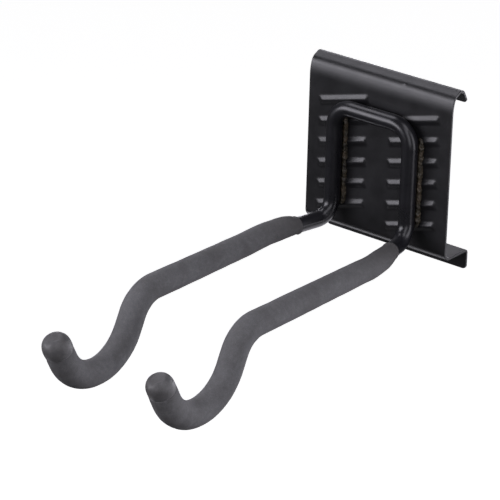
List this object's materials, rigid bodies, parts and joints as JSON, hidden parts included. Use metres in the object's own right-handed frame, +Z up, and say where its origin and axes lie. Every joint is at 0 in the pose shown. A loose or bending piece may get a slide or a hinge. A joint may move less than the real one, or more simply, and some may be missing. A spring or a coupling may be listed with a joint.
{
  "type": "bicycle wall rack",
  "caption": "Slat-rail bicycle hook: formed ribbed back plate with a welded bent round bar whose two level arms end in padded upturned cradles.",
  "frame": {"origin": "middle of the back plate's flat back face, where it bears on the wall rail", "axes": "+X along the plate's width, +Y into the wall, so the arms reach out along -Y, +Z up"},
  "size_m": [0.1014, 0.2617, 0.136],
  "materials": {
    "plate_coat": "satin black powder coat",
    "bar_coat": "gloss black powder coat",
    "sleeve_foam": "matte closed-cell foam rubber",
    "cap_rubber": "matte moulded rubber",
    "weld_bead": "thinly coated weld bead, slightly brown"
  },
  "bodies": {
    "root": {"back_plate": "plate_coat", "hook_bar": "bar_coat", "left_sleeve": "sleeve_foam", "right_sleeve": "sleeve_foam", "left_end_cap": "cap_rubber", "right_end_cap": "cap_rubber", "left_weld_outer": "weld_bead", "left_weld_inner": "weld_bead", "right_weld_outer": "weld_bead", "right_weld_inner": "weld_bead"}
  },
  "joints": []
}
